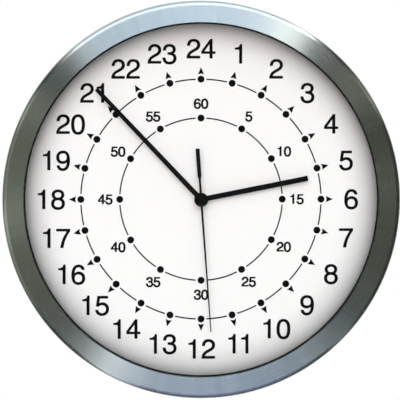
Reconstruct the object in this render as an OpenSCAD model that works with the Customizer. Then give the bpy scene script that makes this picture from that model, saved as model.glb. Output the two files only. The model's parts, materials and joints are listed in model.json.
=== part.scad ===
// Twenty-four hour wall clock, in millimetres.
// The hands' axis meets the wall at the origin. The wall is the plane y = 0, the dial looks along -Y
// and the numeral 24 is towards +Z. Modules draw a piece lying on its back, with its own Z pointing
// out of the wall towards the viewer, and on_wall() stands it up.

/* [Bezel] */
// Outer diameter of the brushed ring
case_d = 300; // [292:1:330]
// Distance from the wall to the front edge of the ring
case_depth = 40; // [40:0.5:50]
// Width of the ring seen from the front
bezel_face = 16.3; // [15:0.1:18]
// Thickness of the ring's skirt
bezel_wall = 3; // [2.4:0.1:4]
// Thickness of the ring's front flange
bezel_flange = 3; // [2.4:0.1:4]
// How far the flat face falls back from its inner to its outer edge
bezel_fall = 0.6; // [0:0.1:1.5]
// Radius of the ring's outer corner
bezel_round = 3.4; // [2:0.1:4]
// Bright chamfer at the ring's inner edge
bezel_chamfer = 0.7; // [0.3:0.1:1.2]
// Gap between the wall and the skirt's rear edge
skirt_gap = 6; // [5:0.5:7]

/* [Glass] */
// Thickness of the glass
lens_t = 3; // [2:0.1:3.2]
// How far the glass reaches under the ring
lens_cover = 6.2; // [5:0.1:7]
// Thickness of each leg of the rubber channel
gasket_leg = 1; // [0.6:0.1:1.2]
// Thickness of the rubber channel's web
gasket_web = 2; // [1.5:0.1:2.2]
// Width of rubber that shows inside the ring
gasket_show = 0.9; // [0.5:0.1:2]

/* [Dial] */
// Thickness of the dial sheet
dial_t = 0.8; // [0.5:0.1:1]
// Width of the coved edge that turns up to the glass
cove_w = 15; // [8:0.5:18]
// Width of the flat lip around the cove
dial_lip = 2.6; // [1.5:0.1:2.8]
// Thickness of the printed marks
ink_t = 0.12; // [0.08:0.01:0.2]
// Distance from the coved edge in to the hour track
hour_track_in = 27.8; // [26:0.1:40]
// Distance between the hour and minute tracks
track_spacing = 29.4; // [20:0.1:40]
// Width of the track lines
track_w = 0.55; // [0.3:0.05:1]
// Diameter of the dots on both tracks
dot_d = 4.8; // [3:0.1:6]
// Clear space between a dot and the line
dot_gap = 1.9; // [1:0.1:3]
// Length of the arrowheads outside the hour dots
arrow_l = 4.2; // [3:0.1:5]
// Width of an arrowhead
arrow_w = 3.6; // [2:0.1:4]
// Distance from the hour track to an arrowhead's barbs
arrow_gap = 4.1; // [3:0.1:5]

/* [Hands] */
// Angle of the hour hand, clockwise from 24
hour_angle = 78.8; // [0:0.1:360]
// Angle of the minute hand
minute_angle = 316.6; // [0:0.1:360]
// Angle of the second hand's needle
second_angle = 175.8; // [0:0.1:360]
// Distance from the hour hand's tip to the hour track
hour_short = 8.6; // [5:0.1:30]
// Width of the hour hand
hour_w = 4; // [3:0.1:6]
// Distance from the minute hand's tip to the coved edge
minute_short = 3.6; // [2:0.1:20]
// Width of the minute hand at its hub
minute_root_w = 3.9; // [3:0.1:6]
// Width of the minute hand at its tip
minute_tip_w = 3.1; // [2:0.1:4]
// Distance from the needle's tip to the coved edge
second_short = 18.1; // [5:0.1:40]
// Width of the needle at the hub
second_root_w = 1.7; // [1.2:0.1:2.4]
// Width of the needle at its tip
second_tip_w = 0.8; // [0.5:0.1:1.2]
// Length of the second hand's counterweight tail
tail_l = 38.8; // [25:0.1:50]
// Width of the paddle at the tail's end
tail_w = 3; // [2:0.1:5]
// Distance from the axis at which the paddle starts
tail_neck_l = 16.5; // [10:0.1:20]
// Thickness of the hour and minute hands
hand_t = 0.6; // [0.4:0.05:0.7]
// Thickness of the second hand
second_t = 0.4; // [0.3:0.05:0.6]
// Radius of the centre cap
cap_r = 5.3; // [4.5:0.1:7]
// Gap between the centre cap and the glass
cap_gap = 0.55; // [0.3:0.05:1]

/* [Back pan] */
// Thickness of the pan's side wall
pan_wall = 2.5; // [2:0.1:3]
// Thickness of the plate that carries the dial
pan_plate = 2.5; // [2:0.1:3]
// Thickness of the flange that closes the skirt
pan_flange = 2.5; // [2:0.1:3]
// Width of the flat foot that lies on the wall
foot_w = 5; // [3:0.1:8]
// Number of screws that hold the ring
case_screws = 6; // [3:1:8]
// Length of a case screw under its head
case_screw_l = 12; // [8:0.5:16]

/* [Keyhole] */
// Radius of the round entry for the wall screw's head
key_r = 4.5; // [4:0.1:6]
// Width of the slot for the screw's shank
key_slot_w = 4.4; // [3.5:0.1:4.8]
// Distance from the entry's centre up to the end of the slot's travel
key_travel = 9; // [7:0.5:12]
// Distance from the pan's side wall down to the entry's centre
key_down = 40.4; // [30:0.1:60]
// Thickness of the pocket's walls
key_wall = 2; // [1.5:0.1:2.5]
// Gap between the wall and the pocket
key_gap = 1.5; // [1:0.1:3]

/* [Movement] */
// Room for the spring contact beside the cell
spring_room = 2.1; // [2:0.1:4]
// Depth of the movement
mv_depth = 16; // [16:0.1:16.6]
// Thickness of the movement's side walls
mv_wall = 1.2; // [1:0.1:1.3]
// Thickness of the movement's front plate and rear cover
mv_plate = 1.5; // [1.2:0.1:1.6]
// Thickness of the rubber washer between movement and pan
mv_washer_t = 0.8; // [0.5:0.1:1.5]
// Radius of the threaded bush
bush_r = 4; // [3.6:0.1:4.4]
// Length of the bush beyond the dial
bush_out = 2.9; // [2.6:0.1:3.2]
// Radius of the slotted nut
nut_r = 5.2; // [4.9:0.1:7]
// Height of the slotted nut
nut_t = 2; // [1.5:0.1:2.2]
// Thickness of the washer under the nut
dial_washer_t = 0.5; // [0.3:0.1:0.8]
// Radius of the AA cell
cell_r = 7.25; // [7:0.05:7.25]
// Length of the AA cell with its nub
cell_l = 50.5; // [49.5:0.1:51]

/* [Gear train] */
// Distance from the rotor to the fifth wheel
rotor_distance = 7.2; // [7:0.05:7.4]
// Distance from the centre to the fifth wheel
fifth_distance = 10.4; // [10.3:0.05:10.6]
// Distance from the centre to the third wheel
third_distance = 10.2; // [10:0.05:10.2]
// Distance from the centre to the minute wheel
motion_distance = 9.6; // [9.4:0.05:9.8]
// Thickness of the larger wheels
wheel_t = 0.8; // [0.6:0.05:0.9]
// Radius of the train's pivots
pivot_r = 0.45; // [0.35:0.05:0.5]
// Radial clearance of a turning shaft
run_gap = 0.06; // [0.03:0.01:0.09]
// Radial gap between pieces pressed together
press_gap = 0.02; // [0.01:0.01:0.03]

/* [Hidden] */
$fn = 96;

// Overrun of a cut past the faces it opens
over = 1;
// Clearance between pieces that only have to pass each other
fit = 0.1;
// Working clearance between moving pieces, along the axis
float = 0.4;

// Levels out of the wall, and radii, of the case
case_r = case_d / 2;
open_r = case_r - bezel_face;
skirt_r = case_r - bezel_wall;
flange_z = case_depth - bezel_flange;
lens_r = open_r + lens_cover;
lens_front = flange_z - gasket_leg;
lens_back = lens_front - lens_t;
gasket_r = lens_r + gasket_web;
gasket_back = lens_back - gasket_leg;
lip_r = open_r - gasket_show;
pan_r = lens_r - gasket_leg;
pan_in_r = pan_r - pan_wall;

// Stack of the hands, from the glass back to the dial
hands_gap = 1.1;
cap_h = 1.5;
cap_crown = 0.6;
second_z = lens_back - cap_gap - cap_h - second_t;
minute_z = second_z - hands_gap - hand_t;
hour_z = minute_z - hands_gap - hand_t;

// Levels of the dial, the pan's plate and the movement
dial_front = hour_z - hands_gap / 2 - bush_out;
dial_back = dial_front - dial_t;
plate_back = dial_back - pan_plate;
mv_front = plate_back - mv_washer_t;
mv_back = mv_front - mv_depth;
cove_r = lip_r + gasket_show;
cove_in_r = cove_r - cove_w;
cove_h = gasket_back - dial_front;
cove_steps = 24;
dial_r = min(cove_r + dial_lip, pan_in_r - fit);
ink_front = dial_front + ink_t;
hour_track_r = cove_in_r - hour_track_in;
minute_track_r = hour_track_r - track_spacing;

// Screws and bosses between pan and ring
boss_r = 2.5;
boss_bite = 0.2;
boss_c = skirt_r + boss_bite - boss_r;
case_screw_r = 1.45;
case_screw_gap = 0.05;
case_screw_hole_r = 1.7;
screw_head_r = 2.2;
screw_head_h = 1.5;
screw_slot_w = 0.7;
flange_back = skirt_gap + screw_head_h;
flange_front = flange_back + pan_flange;
rib_w = 1.4;
rib_h = lens_t + gasket_leg;
screw_angle = 15;

// Lengths of the hands, and what carries them on the centre arbors
hour_l = hour_track_r - hour_short;
minute_l = cove_in_r - minute_short;
second_l = cove_in_r - second_short;
collet_out = 0.4;
hub_r = 4.6;
arbor_r = 0.55;
cannon_r = 1.45;
hour_tube_r = 2.35;
hour_collet_r = 3.6;
minute_collet_r = 2.7;
second_tube_r = 1.2;

// Levels inside the movement, worked out from its rear cover forwards
cover_z = mv_back + mv_plate;
front_plate_z = mv_front - mv_plate;
seconds_lift = 0.9;
seconds_z = cover_z + seconds_lift;
third_z = seconds_z + wheel_t + float * 2;
fifth_z = third_z + wheel_t + float * 1.5;
fifth_t = wheel_t * 0.75;
centre_z = fifth_z + fifth_t + float * 1.5;
bridge_z = centre_z + wheel_t + float * 2.5;
bridge_t = 1;
cannon_z = bridge_z + bridge_t + float;
motion_z = cannon_z + float;
hour_wheel_z = motion_z + wheel_t + float * 3;
pivot_depth = 0.8;

// Teeth, with leaves for the small pinions
rotor_leaves = 8;
fifth_teeth = 40;
fifth_leaves = 8;
seconds_teeth = 48;
seconds_leaves = 8;
third_teeth = 60;
third_leaves = 8;
centre_teeth = 64;
cannon_leaves = 10;
minute_teeth = 40;
minute_leaves = 8;
hour_teeth = 48;
knob_leaves = 16;
// Tooth height above and below the pitch circle, in modules
wheel_tooth_shares = [0.9, 1.0];
leaf_tooth_shares = [0.6, 1.25];
// Half thickness of a tooth at its root, pitch circle and tip, in pitches
wheel_flank_shares = [0.25, 0.21, 0.08];
leaf_flank_shares = [0.18, 0.18, 0.08];
// Modules that follow from the centre distances
rotor_m = 2 * rotor_distance / (rotor_leaves + fifth_teeth);
fifth_m = 2 * fifth_distance / (fifth_leaves + seconds_teeth);
third_m = 2 * third_distance / (seconds_leaves + third_teeth);
centre_m = 2 * third_distance / (third_leaves + centre_teeth);
cannon_m = 2 * motion_distance / (cannon_leaves + minute_teeth);
hour_m = 2 * motion_distance / (minute_leaves + hour_teeth);
knob_distance = cannon_m * (minute_teeth + knob_leaves) / 2;
// Directions of the axes, anticlockwise from +X as seen from the front
fifth_angle = 60;
third_angle = 150;
motion_angle = 20;
rotor_angle = 35;
function polar(r, a) = [r * cos(a), r * sin(a)];
function opposite(angle) = angle + 180;
fifth_at = polar(fifth_distance, fifth_angle);
third_at = polar(third_distance, third_angle);
motion_at = polar(motion_distance, motion_angle);
rotor_at = fifth_at + polar(rotor_distance, rotor_angle);
knob_at = polar(motion_distance + knob_distance, motion_angle);
stud_r = 0.5;

// Rooms inside the movement, which is as wide as the cell and the wheels above it need
contact_t = 0.5;
contact_w = 8;
cell_gap = 0.25;
wheel_room = 9.7;
mv_in = max(cell_l / 2 + contact_t + spring_room / 2, 2 * cell_r + fit + cell_gap + mv_wall + wheel_room);
mv_half = mv_in + mv_wall;
cell_y = -mv_in + cell_r + fit;
cell_z = front_plate_z - cell_r - fit / 2;
bay_y = cell_y + cell_r + cell_gap;
bay_wall_y = bay_y + mv_wall;
nub_r = 2.75;
nub_l = 1;
cell_front_x = mv_in - contact_t;
cell_back_x = cell_front_x - cell_l;
corner_post = 2.6;

// Motor: rotor, stator, coil
magnet_r = 3;
magnet_t = 1.5;
magnet_z = fifth_z + fifth_t + float * 1.5;
stator_t = 1;
stator_z = magnet_z + (magnet_t - stator_t) / 2;
stator_bore_gap = 0.6;
stator_ring_w = 1.8;
stator_left = -6;
stator_edge = 2.8;
stator_right = mv_in - stator_edge;
stator_low = 10.4;
stator_high = 16;
leg_w = 4;
coil_gap = 0.5;
coil_half = 4;
coil_y = mv_in - coil_half - coil_gap;
core_w = 4;
core_t = 1;
core_z = stator_z + stator_t;
bobbin_wall = 0.6;
bobbin_flange = 1;

// Circuit board and what is on it
board_edge = 0.6;
board_w = 12.8;
board_low = -7.4;
board_high = 16;
board_x = [board_edge - mv_in, board_edge - mv_in + board_w];
board_y = [board_low, board_high];
board_t = 0.8;
board_z = cannon_z - float;
chip_r = 3;
chip_h = 1.1;
chip_edge = 1;
crystal_r = 1;
crystal_l = 6;
crystal_edge = 2;
post_r = 1.2;

// Pillars that carry the middle plate
pillar_r = 1.5;
pillar_left = -11;
pillar_right = 12;
pillar_low = -7.2;
pillar_high = 12;
pillar_high_x = -9.4;
pillars = [[pillar_left, pillar_low], [pillar_right, pillar_low], [pillar_high_x, pillar_high]];
plate_screw_r = 0.6;
plate_screw_head_r = 1.2;
plate_screw_head_h = 0.6;
plate_screw_l = 3;

// Setting knob
knob_r = 5.5;
knob_t = 2.2;
knob_shaft_r = 1.3;
knob_notches = 18;
knob_z = mv_back - knob_t - float;

// Stands a piece up against the wall
module on_wall() {
  rotate([90, 0, 0]) children();
}

// Ring between two radii and two levels
module ring(outer, inner, low, high) {
  translate([0, 0, low]) difference() {
    cylinder(r = outer, h = high - low);
    translate([0, 0, -over]) cylinder(r = inner, h = high - low + 2 * over);
  }
}

// Solid disc between two levels
module disc(r, low, high) {
  translate([0, 0, low]) cylinder(r = r, h = high - low);
}

// Turns a piece clockwise from 24, as seen from the front
module clockwise(angle) {
  rotate([0, 0, -angle]) children();
}

// Box between two corners
module block(low, high) {
  translate(low) cube(high - low);
}

// Points of one tooth that points along an angle
function tooth(m, teeth, heights, flanks, angle) =
  let (pitch_r = m * teeth / 2, root_r = pitch_r - heights[1] * m, tip_r = pitch_r + heights[0] * m,
       pitch = 360 / teeth)
  [
    polar(root_r, angle - flanks[0] * pitch), polar(pitch_r, angle - flanks[1] * pitch),
    polar(tip_r, angle - flanks[2] * pitch), polar(tip_r, angle + flanks[2] * pitch),
    polar(pitch_r, angle + flanks[1] * pitch), polar(root_r, angle + flanks[0] * pitch)
  ];

// Toothed disc with one tooth centred on a direction
module toothed(m, teeth, heights, flanks, toward, low, high) {
  points = [for (k = [0 : teeth - 1]) each tooth(m, teeth, heights, flanks, toward + k * 360 / teeth)];
  translate([0, 0, low]) linear_extrude(height = high - low) polygon(points);
}

// Wheel, with a tooth towards a direction
module wheel(m, teeth, toward, low, high) {
  toothed(m, teeth, wheel_tooth_shares, wheel_flank_shares, toward, low, high);
}

// Pinion, with a leaf towards a direction
module pinion(m, leaves, toward, low, high) {
  toothed(m, leaves, leaf_tooth_shares, leaf_flank_shares, toward, low, high);
}

// Direction in which a gear with this many teeth shows a gap
function gap_toward(direction, teeth) = direction + 180 / teeth;

// Brushed aluminium ring: face, skirt, rib around the glass and screw bosses
module bezel() {
  corner_c = [case_r - bezel_round, case_depth - bezel_fall - bezel_round];
  corner_steps = 10;
  color("silver") on_wall() difference() {
    union() {
      rotate_extrude() polygon(concat(
        [
          [skirt_r, skirt_gap], [skirt_r, flange_z], [open_r, flange_z],
          [open_r, case_depth - bezel_chamfer], [open_r + bezel_chamfer, case_depth]
        ],
        [for (k = [0 : corner_steps]) corner_c + polar(bezel_round, 90 - k * 90 / corner_steps)],
        [[case_r, skirt_gap]]
      ));
      ring(gasket_r + fit + rib_w, gasket_r + fit, flange_z - rib_h, flange_z + fit);
      around_case() disc(boss_r, flange_front, flange_z + fit);
    }
    around_case()
      disc(case_screw_r + case_screw_gap, flange_front - over, flange_back + case_screw_l + fit);
  }
}

// Repeats a piece at each case screw
module around_case() {
  for (k = [0 : case_screws - 1]) {
    clockwise(screw_angle + k * 360 / case_screws) translate([0, boss_c, 0]) children();
  }
}

// Flat glass
module lens() {
  color("lightcyan", 0.3) on_wall() disc(lens_r - fit, lens_back, lens_front);
}

// Black rubber channel around the edge of the glass
module lens_gasket() {
  color("black") on_wall() rotate_extrude() polygon([
    [lip_r, flange_z], [gasket_r, flange_z], [gasket_r, gasket_back], [lip_r, gasket_back],
    [lip_r, lens_back], [lens_r, lens_back], [lens_r, lens_front], [lip_r, lens_front]
  ]);
}

// Point of the cove at an angle round its quarter ellipse, moved back by a depth
function cove_point(angle, depth) =
  let (along = [cove_w * cos(angle), cove_h * sin(angle)])
  [cove_in_r + cove_w * sin(angle), dial_front + cove_h * (1 - cos(angle))]
    + depth / norm(along) * [along[1], -along[0]];

// White dial sheet, flat in the middle and coved up to the glass at its edge
module dial() {
  back_end = acos(1.5 * dial_t / cove_h);
  color("white") on_wall() rotate_extrude() polygon(concat(
    [[bush_r + fit, dial_front], [bush_r + fit, dial_back]],
    [for (k = [0 : cove_steps]) cove_point(k * back_end / cove_steps, dial_t)],
    [
      [cove_r + dial_t, gasket_back - dial_t], [dial_r, gasket_back - dial_t],
      [dial_r, gasket_back]
    ],
    [for (k = [cove_steps : -1 : 0]) cove_point(k * 90 / cove_steps, 0)]
  ));
}

// Printed circle broken by evenly spaced dots, the first of them at 24
module track(r, count) {
  pitch = 360 / count;
  half_gap = asin((dot_d / 2 + dot_gap) / r);
  for (k = [0 : count - 1]) {
    clockwise(k * pitch) {
      translate([0, r, 0]) disc(dot_d / 2, dial_front, ink_front);
      rotate([0, 0, 90 + half_gap]) rotate_extrude(angle = pitch - 2 * half_gap)
        translate([r - track_w / 2, dial_front]) square([track_w, ink_t]);
    }
  }
}

// Hour track: one dot and one notched arrowhead for each of the twenty-four hours
module hour_track() {
  hours = 24;
  notch = arrow_l / 8;
  color("black") on_wall() {
    track(hour_track_r, hours);
    for (k = [0 : hours - 1]) {
      clockwise(k * 360 / hours) translate([0, hour_track_r + arrow_gap, dial_front])
        linear_extrude(height = ink_t)
          polygon([[-arrow_w / 2, 0], [0, notch], [arrow_w / 2, 0], [0, arrow_l]]);
    }
  }
}

// Minute track: one dot for every five minutes
module minute_track() {
  color("black") on_wall() track(minute_track_r, 12);
}

// Moulded pan: foot on the wall, side wall, dial plate, flange, ribs, movement frame, keyhole pocket
module back_pan() {
  frame_in = mv_half + fit;
  frame_w = 2;
  frame_h = 6;
  rib_count = 8;
  rib_t = 1.6;
  rib_z = 4;
  key_room = 8;
  key_foot = 6;
  key_up = pan_in_r - key_down;
  pocket_w = 2 * (key_r + key_room);
  pocket_low = key_up - key_r - key_foot;
  pocket_high = key_up + key_travel + key_room;
  color("gainsboro") on_wall() difference() {
    union() {
      rotate_extrude() polygon([
        [0, plate_back], [pan_in_r, plate_back], [pan_in_r, pan_plate], [pan_r - foot_w, pan_plate],
        [pan_r - foot_w, 0], [pan_r, 0], [pan_r, flange_back], [skirt_r - 4 * fit, flange_back],
        [skirt_r - 4 * fit, flange_front], [pan_r, flange_front], [pan_r, gasket_back],
        [pan_in_r, gasket_back], [pan_in_r, dial_back], [0, dial_back]
      ]);
      block([-frame_in - frame_w, -frame_in - frame_w, plate_back - frame_h],
            [frame_in + frame_w, frame_in + frame_w, plate_back + fit]);
      for (k = [0 : rib_count - 1]) {
        clockwise((k + 0.5) * 360 / rib_count)
          block([-rib_t / 2, frame_in + frame_w, plate_back - rib_z],
                [rib_t / 2, pan_in_r + fit, plate_back + fit]);
      }
      block([-pocket_w / 2, pocket_low, key_gap], [pocket_w / 2, pocket_high, plate_back + fit]);
    }
    block([-frame_in, -frame_in, plate_back - frame_h - over], [frame_in, frame_in, plate_back]);
    disc(bush_r + fit, plate_back - over, dial_back + over);
    around_case() disc(case_screw_hole_r, flange_back - over, flange_front + over);
    block([key_wall - pocket_w / 2, pocket_low + key_wall, key_gap + key_wall],
          [pocket_w / 2 - key_wall, pocket_high - key_wall, dial_back + over]);
    translate([0, key_up, 0]) disc(key_r, key_gap - over, key_gap + key_wall + over);
    block([-key_slot_w / 2, key_up, key_gap - over],
          [key_slot_w / 2, key_up + key_travel, key_gap + key_wall + over]);
    translate([0, key_up + key_travel, 0])
      disc(key_slot_w / 2, key_gap - over, key_gap + key_wall + over);
  }
}

// Screw that points out of the wall, with its head at the back
module screw(r, length, head_r, head_h, head_z) {
  difference() {
    union() {
      disc(head_r, head_z, head_z + head_h);
      disc(r, head_z + head_h / 2, head_z + head_h + length);
    }
    block([-head_r - over, -screw_slot_w / 2, head_z - over],
          [head_r + over, screw_slot_w / 2, head_z + head_h / 2]);
  }
}

// Screws through the pan's flange into the ring
module case_screws() {
  color("dimgray") on_wall() around_case()
    screw(case_screw_r, case_screw_l, screw_head_r, screw_head_h, flange_back - screw_head_h);
}

// Moulded case of the movement: front plate, walls, battery bay, pillars and stud
module movement_case() {
  color("dimgray") on_wall() difference() {
    union() {
      difference() {
        block([-mv_half, -mv_half, mv_back], [mv_half, mv_half, mv_front]);
        block([-mv_in, bay_wall_y, mv_back - over], [mv_in, mv_in, front_plate_z]);
        block([-mv_in, -mv_in, mv_back - over], [mv_in, bay_y, front_plate_z]);
      }
      for (x = [-1, 1]) {
        for (y = [bay_wall_y, mv_in - corner_post]) {
          translate([x * (mv_in - corner_post / 2) - corner_post / 2, y, cover_z])
            cube([corner_post, corner_post, mv_front - mv_plate / 2 - cover_z]);
        }
      }
      for (p = pillars) {
        translate([p[0], p[1], 0]) disc(pillar_r, bridge_z + bridge_t, mv_front - mv_plate / 2);
      }
      for (y = [board_y[0] + 2 * post_r, board_y[1] - 2 * post_r]) {
        translate([board_x[0] + 2 * post_r, y, 0])
          disc(post_r, board_z + board_t, mv_front - mv_plate / 2);
      }
      translate(motion_at) disc(stud_r, cannon_z, mv_front - mv_plate / 2);
    }
    disc(bush_r + press_gap, front_plate_z - over, mv_front + over);
    translate(knob_at) disc(knob_shaft_r + run_gap, front_plate_z - over, front_plate_z + pivot_depth);
    for (p = pillars) {
      translate([p[0], p[1], 0])
        disc(plate_screw_r + press_gap, bridge_z + bridge_t - over, bridge_z + plate_screw_l + fit);
    }
  }
}

// Rear cover over the wheels, with the blind bearings of the arbors
module movement_cover() {
  color("darkgray") on_wall() difference() {
    block([-mv_in + fit, bay_wall_y + fit, mv_back], [mv_in - fit, mv_in - fit, cover_z]);
    for (p = [[0, 0], fifth_at, third_at, rotor_at]) {
      translate(p) disc(pivot_r + run_gap, cover_z - pivot_depth, cover_z + over);
    }
    translate(knob_at) disc(knob_shaft_r + run_gap, mv_back - over, cover_z + over);
  }
}

// Plate that carries the arbors' front bearings
module middle_plate() {
  left = pillars[0][0] - pillar_r;
  right = pillars[1][0] + pillar_r;
  low = pillars[0][1] - pillar_r;
  high = pillars[2][1] + pillar_r;
  rotor_margin = 3.3;
  rotor_edge = rotor_at + [rotor_margin, rotor_margin];
  color("lightgray") on_wall() difference() {
    translate([0, 0, bridge_z]) linear_extrude(height = bridge_t) polygon([
      [left, low], [right, low], [right, 0], [rotor_edge[0], rotor_at[1] / 2], rotor_edge,
      [fifth_at[0] - pillar_r, rotor_edge[1]], [pillars[2][0] + 3 * pillar_r, high], [left, high]
    ]);
    disc(cannon_r + run_gap, bridge_z - over, bridge_z + bridge_t + over);
    for (p = [fifth_at, third_at, rotor_at]) {
      translate(p) disc(pivot_r + run_gap, bridge_z - over, bridge_z + bridge_t + over);
    }
    for (p = pillars) {
      translate(p) disc(plate_screw_r + fit, bridge_z - over, bridge_z + bridge_t + over);
    }
  }
}

// Screws that hold the middle plate on its pillars
module plate_screws() {
  color("silver") on_wall() for (p = pillars) {
    translate(p) screw(plate_screw_r, plate_screw_l, plate_screw_head_r, plate_screw_head_h,
                       bridge_z - plate_screw_head_h);
  }
}

// Brass bush through plate, washer, pan and dial
module threaded_bush() {
  flange_t = 0.7;
  flange_w = 1.2;
  color("gold") on_wall() difference() {
    union() {
      disc(bush_r, front_plate_z - flange_t / 2, dial_front + bush_out);
      disc(bush_r + flange_w, front_plate_z - flange_t, front_plate_z);
    }
    disc(hour_tube_r + run_gap, front_plate_z - flange_t - over, dial_front + bush_out + over);
  }
}

// Rubber washer between movement and pan
module movement_washer() {
  width = 6;
  color("black") on_wall() ring(bush_r + width, bush_r + fit, mv_front, plate_back);
}

// Steel washer under the nut
module dial_washer() {
  color("silver") on_wall() ring(nut_r, bush_r + fit, dial_front, dial_front + dial_washer_t);
}

// Slotted nut that clamps dial, pan and movement together
module ring_nut() {
  low = dial_front + dial_washer_t;
  slot_w = 1.4;
  slot_h = nut_t / 2;
  color("gold") on_wall() difference() {
    ring(nut_r, bush_r + press_gap, low, low + nut_t);
    for (a = [0, 90]) {
      rotate([0, 0, a])
        block([-nut_r - over, -slot_w / 2, low + nut_t - slot_h],
              [nut_r + over, slot_w / 2, low + nut_t + over]);
    }
  }
}

// AA cell lying across the foot of the movement, nub to the right
module battery_cell() {
  edge = 0.5;
  body_l = cell_l - nub_l;
  color("darkgreen") on_wall() translate([cell_back_x, cell_y, cell_z]) rotate([0, 90, 0])
    rotate_extrude() polygon([
      [0, 0], [cell_r - edge, 0], [cell_r, edge], [cell_r, body_l - edge], [cell_r - edge, body_l],
      [nub_r, body_l], [nub_r, cell_l], [0, cell_l]
    ]);
}

// Flat contact at the cell's nub
module positive_contact() {
  color("silver") on_wall() block(
    [mv_in - contact_t, cell_y - contact_w / 2, cover_z],
    [mv_in, cell_y + contact_w / 2, front_plate_z]
  );
}

// Contact with a folded leaf that presses on the cell's base
module negative_contact() {
  leaf_h = 2 * contact_w / 3;
  reach = cell_back_x + mv_in - contact_t;
  fold = contact_t * 1.2;
  color("silver") on_wall() {
    block([-mv_in, cell_y - contact_w / 2, cover_z],
          [-mv_in + contact_t, cell_y + contact_w / 2, front_plate_z]);
    translate([-mv_in + contact_t, cell_y + contact_w / 2, cell_z]) rotate([90, 0, 0])
      linear_extrude(height = contact_w) polygon([
        [-contact_t / 2, -leaf_h], [0, -leaf_h], [reach, 0], [0, leaf_h], [-contact_t / 2, leaf_h],
        [-contact_t / 2, leaf_h - fold], [0, leaf_h - fold], [reach - fold, 0], [0, fold - leaf_h],
        [-contact_t / 2, fold - leaf_h]
      ]);
  }
}

// Circuit board beside the wheels
module circuit_board() {
  color("green") on_wall()
    block([board_x[0], board_y[0], board_z], [board_x[1], board_y[1], board_z + board_t]);
}

// Sealed driver chip on the back of the board
module driver_chip() {
  edge = chip_h / 2;
  color("black") on_wall() translate([board_x[1] - chip_r - chip_edge, board_y[1] / 2, board_z - chip_h])
    rotate_extrude() polygon([[0, 0], [chip_r - edge, 0], [chip_r, edge], [chip_r, chip_h], [0, chip_h]]);
}

// Quartz resonator can lying on the back of the board
module quartz_crystal() {
  color("silver") on_wall()
    translate([board_x[0] + 2 * crystal_r + crystal_edge, board_y[0] + crystal_l, board_z - crystal_r])
      rotate([90, 0, 0]) cylinder(r = crystal_r, h = crystal_l);
}

// Stator plate: ring around the rotor and a leg to each end of the coil
module stator() {
  bore = magnet_r + stator_bore_gap;
  color("slategray") on_wall() translate([0, 0, stator_z]) linear_extrude(height = stator_t) difference() {
    union() {
      translate([stator_left, stator_low]) square([stator_right - stator_left, stator_high - stator_low]);
      translate(rotor_at) circle(r = bore + stator_ring_w);
      for (x = [stator_left, stator_right - leg_w]) {
        translate([x, stator_low]) square([leg_w, coil_y + core_w / 2 - stator_low]);
      }
    }
    translate(rotor_at) circle(r = bore);
    translate(fifth_at) circle(r = pivot_r * 2);
  }
}

// Core bar that joins the stator's legs through the coil
module coil_core() {
  color("slategray") on_wall()
    block([stator_left, coil_y - core_w / 2, core_z], [stator_right, coil_y + core_w / 2, core_z + core_t]);
}

// Box around the coil's axis, grown from the core by a margin
module around_core(margin, low_x, high_x) {
  block([low_x, coil_y - core_w / 2 - margin, core_z - margin],
        [high_x, coil_y + core_w / 2 + margin, core_z + core_t + margin]);
}

// Bobbin with two flanges on the core
module coil_bobbin() {
  low_x = stator_left + leg_w + coil_gap;
  high_x = stator_right - leg_w - coil_gap;
  color("white") on_wall() difference() {
    union() {
      around_core(fit + bobbin_wall, low_x, high_x);
      for (x = [low_x, high_x - bobbin_flange]) {
        block([x, coil_y - coil_half, core_z + core_t / 2 - coil_half],
              [x + bobbin_flange, coil_y + coil_half, core_z + core_t / 2 + coil_half]);
      }
    }
    around_core(fit, low_x - over, high_x + over);
  }
}

// Copper winding between the bobbin's flanges
module coil_winding() {
  low_x = stator_left + leg_w + coil_gap + bobbin_flange;
  high_x = stator_right - leg_w - coil_gap - bobbin_flange;
  wound = coil_half - coil_gap;
  color("peru") on_wall() difference() {
    block([low_x, coil_y - wound, core_z + core_t / 2 - wound],
          [high_x, coil_y + wound, core_z + core_t / 2 + wound]);
    around_core(fit + bobbin_wall, low_x - over, high_x + over);
  }
}

// Arbor with thinner pivots in the rear cover and the middle plate
module arbor(r) {
  disc(pivot_r, cover_z - pivot_depth + fit, bridge_z + bridge_t - fit);
  disc(r, cover_z + float / 2, bridge_z - float / 2);
}

// Magnet of the rotor
module rotor_magnet() {
  color("gray") on_wall() translate(rotor_at)
    ring(magnet_r, arbor_r + press_gap, magnet_z, magnet_z + magnet_t);
}

// Rotor arbor with the first pinion
module rotor_pinion() {
  color("white") on_wall() translate(rotor_at) {
    arbor(arbor_r);
    pinion(rotor_m, rotor_leaves, gap_toward(opposite(rotor_angle), rotor_leaves),
           fifth_z - float / 2, fifth_z + fifth_t + float / 2);
  }
}

// Fifth wheel, between rotor and seconds wheel
module fifth_wheel() {
  color("white") on_wall() translate(fifth_at) {
    arbor(arbor_r);
    wheel(rotor_m, fifth_teeth, rotor_angle, fifth_z, fifth_z + fifth_t);
    pinion(fifth_m, fifth_leaves, gap_toward(opposite(fifth_angle), fifth_leaves),
           seconds_z - float / 2, seconds_z + wheel_t + float / 2);
  }
}

// Seconds wheel on the long arbor that carries the second hand
module seconds_wheel() {
  color("ivory") on_wall() {
    disc(pivot_r, cover_z - pivot_depth + fit, seconds_z);
    disc(arbor_r, cover_z + float / 2, second_z + second_t + collet_out);
    wheel(fifth_m, seconds_teeth, fifth_angle, seconds_z, seconds_z + wheel_t);
    pinion(third_m, seconds_leaves, third_angle, third_z - float / 2, third_z + wheel_t + float / 2);
  }
}

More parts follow.
